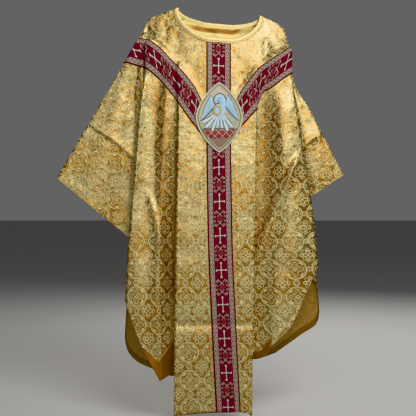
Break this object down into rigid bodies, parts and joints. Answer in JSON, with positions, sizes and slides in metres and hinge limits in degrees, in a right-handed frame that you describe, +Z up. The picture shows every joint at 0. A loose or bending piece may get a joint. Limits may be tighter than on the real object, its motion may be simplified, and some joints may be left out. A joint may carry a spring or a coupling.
{
  "type": "chasuble",
  "caption": "Gothic chasuble of gold damask as it hangs, with burgundy Y-shaped orphreys, bound neck and an oval bird emblem.",
  "frame": {"origin": "on the garment's centre line at the shoulder line, at the mean height of the two neck points, where a hanger's neck passes", "axes": "+Z up, front faces -Y, the wearer's right shoulder is at -X; long side along Z, thin side along Y"},
  "size_m": [0.89, 0.1222, 1.2593],
  "materials": {
    "damask": "gold silk damask, satin figure on a matt ground",
    "satin": "gold satin",
    "galloon": "burgundy woven galloon with silver-grey figure",
    "tape": "plain cotton tape",
    "emblem_ground": "taupe embroidered ground",
    "silver_cord": "silver-white twisted cord",
    "gold_braid": "antique gold braid",
    "blue_thread": "light blue satin stitch",
    "pale_thread": "pale blue satin stitch",
    "red_thread": "red basket stitch"
  },
  "bodies": {
    "root": {"front_panel": "damask", "back_panel": "damask", "front_neck_facing": "satin", "back_neck_facing": "satin", "front_hem_facing": "satin", "back_hem_facing": "satin", "neck_binding": "satin", "front_orphrey_column": "galloon", "back_orphrey_column": "galloon", "front_orphrey_arm_left": "galloon", "front_orphrey_arm_right": "galloon", "back_orphrey_arm_left": "galloon", "back_orphrey_arm_right": "galloon", "left_shoulder_stay_tape": "tape", "right_shoulder_stay_tape": "tape", "emblem_patch": "emblem_ground", "nest_base": "emblem_ground", "emblem_outer_cord": "silver_cord", "emblem_inner_cord": "silver_cord", "emblem_gold_braid": "gold_braid", "breast_ring": "gold_braid", "bird_wing_left": "blue_thread", "bird_wing_right": "blue_thread", "bird_body": "blue_thread", "bird_feather_fan": "pale_thread", "nest": "red_thread"}
  },
  "joints": []
}
